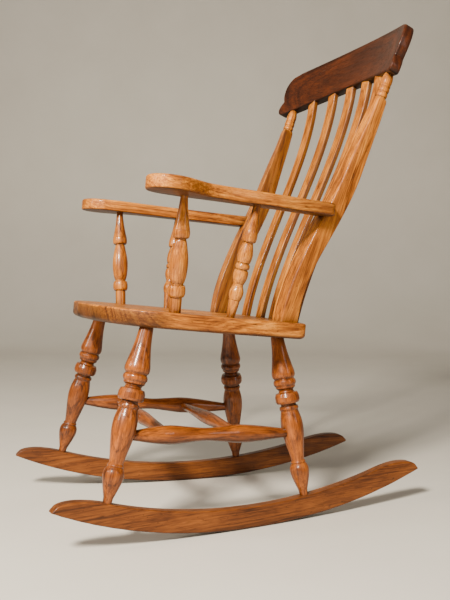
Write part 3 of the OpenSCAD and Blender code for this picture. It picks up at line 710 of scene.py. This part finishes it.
def wood(name, palette, origin, along, flat, seed, ring, pith, figure=1.0, rough=0.5, coat=0.13):
    """Varnished oak. The grain runs along a direction, and flat is where the board's face looks.
    ring is the width of a year, pith is how far the trunk's middle lies under the face, figure is
    how much the rings wander, and coat is the weight of the varnish."""
    material = bpy.data.materials.new(name)
    n = Nodes(material)
    turn = grain_axes(along, flat)
    rng = np.random.default_rng(seed)
    shift = Vector((rng.uniform(-3, 3), rng.uniform(-0.004, 0.004), 0))
    grain = n.add("ShaderNodeMapping", {
        "Vector": n.add("ShaderNodeTexCoord").outputs["Object"],
        "Rotation": turn.to_euler("XYZ"),
        "Location": shift - turn @ Vector(origin),
    }).outputs[0]
    light, main, late, deep = PALETTES[palette]

    # slow bends of the trunk, then distance from its pith gives the year rings
    bent = n.vector("ADD", grain, n.wobble(grain, (3.2, 9, 9), BEND_REACH * figure))
    bent = n.vector("ADD", bent, n.wobble(grain, (14, 90, 90), TREMBLE_REACH))
    split = n.add("ShaderNodeSeparateXYZ", {0: bent})
    across = n.math("ADD", split.outputs[1], rng.uniform(-0.3, 0.3) * pith)
    inward_by = n.math("ADD", split.outputs[2], pith)
    squares = n.math("ADD", n.math("MULTIPLY", across, across), n.math("MULTIPLY", inward_by, inward_by))
    radius = n.math("SQRT", squares, 0.0)

    # years of uneven width and strength, read along the radius
    year = n.add("ShaderNodeTexNoise", {
        "W": n.math("DIVIDE", radius, ring), "Scale": 1.0, "Detail": 3.0, "Roughness": 0.6,
    }, noise_dimensions="1D").outputs[0]
    year_tone = n.grey_ramp(year, [(0.3, 0.05), (0.42, 0.5), (0.55, 0.72), (0.7, 1)])

    # fibres, streaks, slow clouds, specks, and the short dark pores of oak
    fibre = n.noise(grain, (22, 700, 700), 4.0, 0.6)
    streak = n.noise(bent, (3.4, 240, 240), 4.0, 0.65)
    cloud = n.noise(grain, (8, 22, 22), 3.0, 0.6)
    speck = n.noise(grain, (110, 190, 190), 2.0, 0.5)
    speck = n.grey_ramp(speck, [(0.0, 0), (0.66, 0), (0.74, 1), (1.0, 1)])
    pore = n.noise(grain, (38, 620, 620), 1.0, 0.4)
    pore = n.grey_ramp(pore, [(0.0, 0), (0.56, 0), (0.66, 1), (1.0, 1)])
    pore = n.math("MULTIPLY", pore, n.grey_ramp(year_tone, [(0.1, 1), (0.5, 0.75), (1.0, 0.3)]))
    tone = n.total((YEAR_WEIGHT, year_tone), (STREAK_WEIGHT, streak), (FIBRE_WEIGHT, fibre),
                   (CLOUD_WEIGHT, cloud))
    tone = n.math("SUBTRACT", tone, TONE_SHIFT, clamp=True)
    colour = n.ramp(tone, [(0.14, deep), (0.34, late), (0.56, main), (0.86, light)])
    colour = n.mix(n.math("MULTIPLY", n.math("MAXIMUM", pore, speck), PORE_DEPTH), colour, darker(deep, 1))

    # painted shade in the inner corners and along the joints, from ambient occlusion
    open_share = n.add("ShaderNodeAmbientOcclusion", {"Distance": CREVICE_SHADE_REACH}, samples=6).outputs[1]
    crevice_shade = n.grey_ramp(open_share, [(0.0, 1), (0.55, 0.6), (0.9, 0)])
    crevice_shade = n.math("MULTIPLY", crevice_shade, n.math("ADD", 0.6, n.math("MULTIPLY", cloud, 0.5)), clamp=True)
    colour = n.mix(crevice_shade, colour, darker(deep, CREVICE_SHADE_TONE))

    # painted shade on the undersides, and darker where the mesh is marked: worn finish at the seat's rim,
    # painted shade on the posts' inner faces, and darker slat sides and arm tails
    normal = n.add("ShaderNodeNewGeometry").outputs["Normal"]
    down = n.math("MULTIPLY", n.add("ShaderNodeSeparateXYZ", {0: normal}).outputs[2], -1.0)
    # painted shade: the more a surface faces down, the darker it is painted
    under = n.math("MULTIPLY", n.math("SUBTRACT", down, 0.3, clamp=True), 1.6, clamp=True)
    marked = n.add("ShaderNodeAttribute", attribute_name="stain_and_shade").outputs["Fac"]
    dark = n.math("ADD", 0.3, n.math("MULTIPLY", cloud, 1.1))
    dark = n.math("MULTIPLY", n.math("MAXIMUM", under, marked), dark, clamp=True)
    colour = n.mix(dark, colour, darker(deep, SHADE_AND_STAIN_TONE))

    # varnish: uneven gloss, the wood's relief under it, and slow waves from handwork
    gloss = n.noise(grain, (20, 40, 40), 3.0, 0.6)
    roughness = n.math("ADD", rough - 0.09, n.total((0.14, gloss), (0.2, pore)))
    relief = n.total((0.35, fibre), (-0.6, pore), (0.3, year_tone))
    bump = n.add("ShaderNodeBump", {"Strength": 0.16, "Distance": 0.0006, "Height": relief}).outputs[0]
    waves = n.noise(grain, (18, 45, 45), 2.0, 0.5)
    bump = n.add("ShaderNodeBump", {
        "Strength": 0.25, "Distance": 0.0012, "Height": waves, "Normal": bump,
    }).outputs[0]
    shader = n.add("ShaderNodeBsdfPrincipled", {
        "Base Color": colour, "Roughness": roughness, "Normal": bump, "IOR": VARNISH_IOR,
        "Specular IOR Level": 0.22, "Coat Weight": coat, "Coat Roughness": 0.1, "Coat IOR": VARNISH_IOR,
    })
    n.add("ShaderNodeOutputMaterial", {0: shader.outputs[0]})
    return material


def steel():
    """Tarnished steel of the screws."""
    material = bpy.data.materials.new("screw_steel")
    n = Nodes(material)
    coords = n.add("ShaderNodeTexCoord").outputs["Object"]
    tarnish = n.noise(coords, (900, 900, 900), 4.0, 0.55)
    colour = n.ramp(tarnish, [(0.3, srgb(70, 62, 54)), (0.7, srgb(140, 134, 124))])
    bump = n.add("ShaderNodeBump", {"Strength": 0.3, "Distance": 0.0002, "Height": tarnish}).outputs[0]
    shader = n.add("ShaderNodeBsdfPrincipled", {
        "Base Color": colour, "Metallic": 1.0, "Normal": bump,
        "Roughness": n.math("ADD", 0.35, n.math("MULTIPLY", tarnish, 0.3)),
    })
    n.add("ShaderNodeOutputMaterial", {0: shader.outputs[0]})
    return material


# ---------- Materials on the pieces ----------

UP = (0, 0, 1)
# Start of the names of the turned parts, which keep their CAD meshes
TURNED = ("front_leg", "rear_leg", "side_stretcher", "front_cross", "rear_cross", "arm_post", "arm_spindle")
# Where the turned parts' pith side looks
TURNED_FLAT = (0.8, -0.6, 0)


def dress(piece, material):
    piece.data.materials.clear()
    piece.data.materials.append(material)


def middle(name):
    low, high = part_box(name)
    return (low + high) / 2


def long_axis(node):
    """Direction that most of a CAD node's points spread along."""
    points = np.array([v.co for v in node.data.vertices])
    centred = points - points.mean(axis=0)
    few = centred[:: max(1, len(centred) // 2000)]
    axis = np.linalg.svd(few, full_matrices=False)[2][0]
    return axis * np.sign(axis[np.argmax(np.abs(axis))])


def dress_pairs():
    toe = math.radians(ROCKER["toe"])
    for i, (side, word) in enumerate(((1, "left"), (-1, "right"))):
        rocker, post, arm = rockers[i], posts[i], arms[i]
        along = (-math.sin(toe * side), math.cos(toe * side), 0.02)
        dress(rocker, wood(rocker.name, "rocker_oak_and_shade", middle(f"rocker_{word}"), along, (side, 0, 0), 31 + i,
                           ring=0.007, pith=0.06, figure=0.8))
        along = (side * 0.07, 0.33, 1)
        dress(post, wood(post.name, "oak", middle(f"back_post_{word}"), along, (side, 0, 0), 51 + i,
                         ring=0.0045, pith=0.07, figure=0.6))
        along = (0, 1, -0.086)
        dress(arm, wood(arm.name, "oak", middle(f"arm_{word}"), along, UP, 81 + i,
                        ring=0.006, pith=0.05))


def dress_middle():
    dress(seat, wood("seat_wood", "oak", middle("seat"), (0.03, 1, -0.096), UP, 41,
                     ring=0.006, pith=0.09))
    for k, slat in enumerate(slats):
        along = ((k - 2) * 0.025, 0.36, 1)
        dress(slat, wood(slat.name, "oak", middle(f"slat_{k + 1}"), along, (0, -1, 0.3), 61 + k,
                         ring=0.005, pith=0.03))
    dress(crest, wood("crest_rail_wood", "crest_oak", middle("crest_rail"), (1, 0, 0), (0, -1, 0.4), 71,
                      ring=0.008, pith=0.08))


def dress_cad_nodes():
    turned = sorted(name for name in nodes if name.startswith(TURNED))
    for i, name in enumerate(turned):
        # legs and stretchers take the darker tones, which are partly painted shade
        finish = "oak" if name.startswith("arm_") else "turned_oak"
        along = long_axis(nodes[name])
        dress(nodes[name], wood(name + "_wood", finish, middle(name), along, TURNED_FLAT, 101 + i,
                                ring=0.006, pith=0.012, figure=0.2, rough=0.42, coat=0.4))
    for name, along in (("rocker_pegs", (1, 0, 0)), ("crest_pegs", (0, 1, 0))):
        dress(nodes[name], wood(name + "_wood", "crest_oak", middle(name), along, UP, 131,
                                ring=0.003, pith=0.01))
    dress(nodes["arm_screws"], steel())


dress_pairs()
dress_middle()
dress_cad_nodes()

# ---------- Floor and light ----------

def make_floor():
    """Floor and back wall in one sweep, with a round bend between them."""
    half_width = 9
    wall_height = 7
    bend = 1.2
    bend_start = 3.2
    profile = [(-half_width, 0)]
    for k in range(17):
        a = math.radians(90 * k / 16)
        profile.append((bend_start + bend * math.sin(a), bend * (1 - math.cos(a))))
    profile.append((bend_start + bend, wall_height))
    away = Vector((-math.sin(YAW), math.cos(YAW), 0))
    side = Vector((math.cos(YAW), math.sin(YAW), 0))
    points = []
    for reach, height in profile:
        for s in (-half_width, half_width):
            points.append(tuple(away * reach + side * s + Vector((0, 0, height))))
    faces = [(2 * i, 2 * i + 1, 2 * i + 3, 2 * i + 2) for i in range(len(profile) - 1)]
    mesh = bpy.data.meshes.new("floor")
    mesh.from_pydata(points, [], faces)
    for polygon in mesh.polygons:
        polygon.use_smooth = True
    floor = bpy.data.objects.new("floor", mesh)
    bpy.context.collection.objects.link(floor)
    material = bpy.data.materials.new("floor_paint")
    n = Nodes(material)
    coords = n.add("ShaderNodeTexCoord").outputs["Object"]
    mottled = n.noise(coords, (2.5, 2.5, 2.5), 3.0, 0.55)
    colour = n.ramp(mottled, [(0.3, srgb(216, 209, 195)), (0.7, srgb(222, 215, 202))])
    shader = n.add("ShaderNodeBsdfPrincipled", {"Base Color": colour, "Roughness": 0.55})
    n.add("ShaderNodeOutputMaterial", {0: shader.outputs[0]})
    mesh.materials.append(material)


AIM = Vector((0, 0, 0.5))
WARM = (1, 0.93, 0.82)
NEARLY_WHITE = (1, 0.97, 0.93)


def area_light(name, place, size, power, colour):
    """A rectangular light that looks at the chair's middle. power is in watts."""
    data = bpy.data.lights.new(name, "AREA")
    data.shape = "RECTANGLE"
    data.size, data.size_y = size
    data.energy = power
    data.color = colour
    light = bpy.data.objects.new(name, data)
    light.location = place
    light.rotation_euler = (AIM - Vector(place)).to_track_quat("-Z", "Y").to_euler()
    bpy.context.collection.objects.link(light)


def make_light():
    area_light("key", (1.9, -1.9, 2.35), (0.55, 0.55), 285, WARM)
    area_light("front", (0.2, -2.8, 1.7), (0.8, 0.8), 40, WARM)
    area_light("side", (2.6, 1.3, 1.4), (0.6, 1.2), 10, NEARLY_WHITE)
    world = bpy.data.worlds.new("studio")
    world.use_nodes = True
    background = world.node_tree.nodes["Background"]
    background.inputs["Color"].default_value = (0.97, 0.96, 0.95, 1)
    background.inputs["Strength"].default_value = 0.13
    bpy.context.scene.world = world


make_floor()
make_light()
